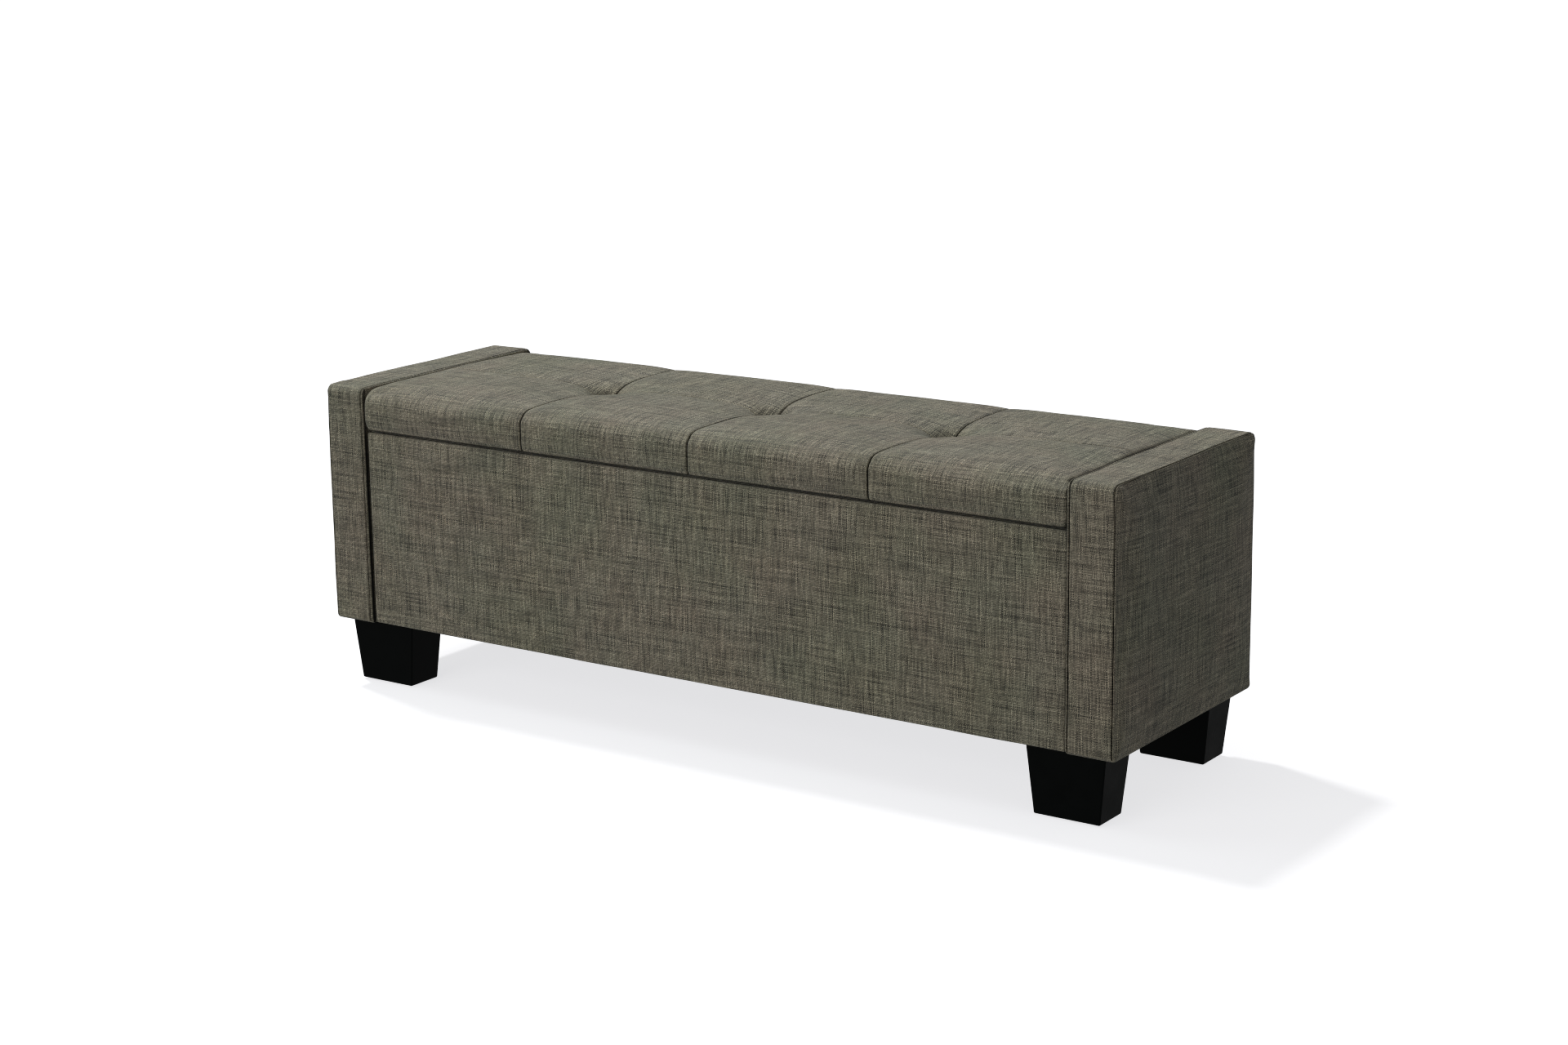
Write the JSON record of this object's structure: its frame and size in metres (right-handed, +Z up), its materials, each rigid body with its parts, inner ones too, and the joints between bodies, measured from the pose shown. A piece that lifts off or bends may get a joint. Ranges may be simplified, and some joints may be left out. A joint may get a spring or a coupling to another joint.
{
  "type": "storage bench",
  "caption": "Long upholstered storage bench: flat padded end panels, a tufted seat that lifts as the lid of a lined bin, and tapered black block feet.",
  "frame": {"origin": "centre of the footprint, on the floor", "axes": "+X along the bench to the viewer's right, +Y to the back (the hinge side), +Z up"},
  "size_m": [1.28, 0.38, 0.44],
  "materials": {
    "taupe_linen": "linen weave",
    "black_cloth": "non-woven",
    "cushion_foam": "open-cell foam",
    "pale_timber": "raw",
    "black_lacquer": "satin lacquer",
    "zinc_steel": "zinc plated",
    "black_plastic": "moulded",
    "black_rubber": "matte"
  },
  "bodies": {
    "base": {"left_end_cover": "taupe_linen", "left_end_inner_board": "pale_timber", "left_end_outer_board": "pale_timber", "left_end_front_post": "pale_timber", "left_end_rear_post": "pale_timber", "left_end_top_rail": "pale_timber", "left_end_bottom_rail": "pale_timber", "right_end_cover": "taupe_linen", "right_end_inner_board": "pale_timber", "right_end_outer_board": "pale_timber", "right_end_front_post": "pale_timber", "right_end_rear_post": "pale_timber", "right_end_top_rail": "pale_timber", "right_end_bottom_rail": "pale_timber", "front_cover": "taupe_linen", "front_board": "pale_timber", "back_cover": "taupe_linen", "back_board": "pale_timber", "bottom_board": "pale_timber", "front_cleat": "pale_timber", "rear_cleat": "pale_timber", "storage_lining": "black_cloth", "base_dust_cover": "black_cloth", "front_left_corner_block": "pale_timber", "front_left_foot": "black_lacquer", "front_left_foot_bolt": "zinc_steel", "front_left_glide": "black_plastic", "front_right_corner_block": "pale_timber", "front_right_foot": "black_lacquer", "front_right_foot_bolt": "zinc_steel", "front_right_glide": "black_plastic", "rear_left_corner_block": "pale_timber", "rear_left_foot": "black_lacquer", "rear_left_foot_bolt": "zinc_steel", "rear_left_glide": "black_plastic", "rear_right_corner_block": "pale_timber", "rear_right_foot": "black_lacquer", "rear_right_foot_bolt": "zinc_steel", "rear_right_glide": "black_plastic", "left_hinge_base_leaf": "zinc_steel", "left_hinge_pin": "zinc_steel", "left_stay_wall_bracket": "zinc_steel", "left_lid_bumper": "black_rubber", "right_hinge_base_leaf": "zinc_steel", "right_hinge_pin": "zinc_steel", "right_stay_wall_bracket": "zinc_steel", "right_lid_bumper": "black_rubber"},
    "lid": {"lid_cover": "taupe_linen", "lid_foam": "cushion_foam", "lid_board": "pale_timber", "lid_dust_cover": "black_cloth", "left_tuft_tie": "black_plastic", "middle_tuft_tie": "black_plastic", "right_tuft_tie": "black_plastic", "left_hinge_lid_leaf": "zinc_steel", "left_stay_lid_bracket": "zinc_steel", "right_hinge_lid_leaf": "zinc_steel", "right_stay_lid_bracket": "zinc_steel"},
    "left_stay": {"left_stay_arm": "zinc_steel"},
    "right_stay": {"right_stay_arm": "zinc_steel"}
  },
  "joints": [
    {"name": "lid_hinge", "type": "hinge", "parent": "base", "child": "lid", "pos_m": [0, 0.1858, 0.3746], "axis": [-1, 0, 0], "range_deg": [0, 95]},
    {"name": "left_stay_pivot", "type": "hinge", "parent": "lid", "child": "left_stay", "pos_m": [-0.5594, 0.06508, 0.357], "axis": [-1, 0, 0], "range_deg": [-48, 0]},
    {"name": "right_stay_pivot", "type": "hinge", "parent": "lid", "child": "right_stay", "pos_m": [0.5594, 0.06508, 0.357], "axis": [-1, 0, 0], "range_deg": [-48, 0]}
  ],
  "couplings": [
    {"joint": "left_stay_pivot", "follows": "lid_hinge", "ratio": -0.5},
    {"joint": "right_stay_pivot", "follows": "lid_hinge", "ratio": -0.5}
  ]
}
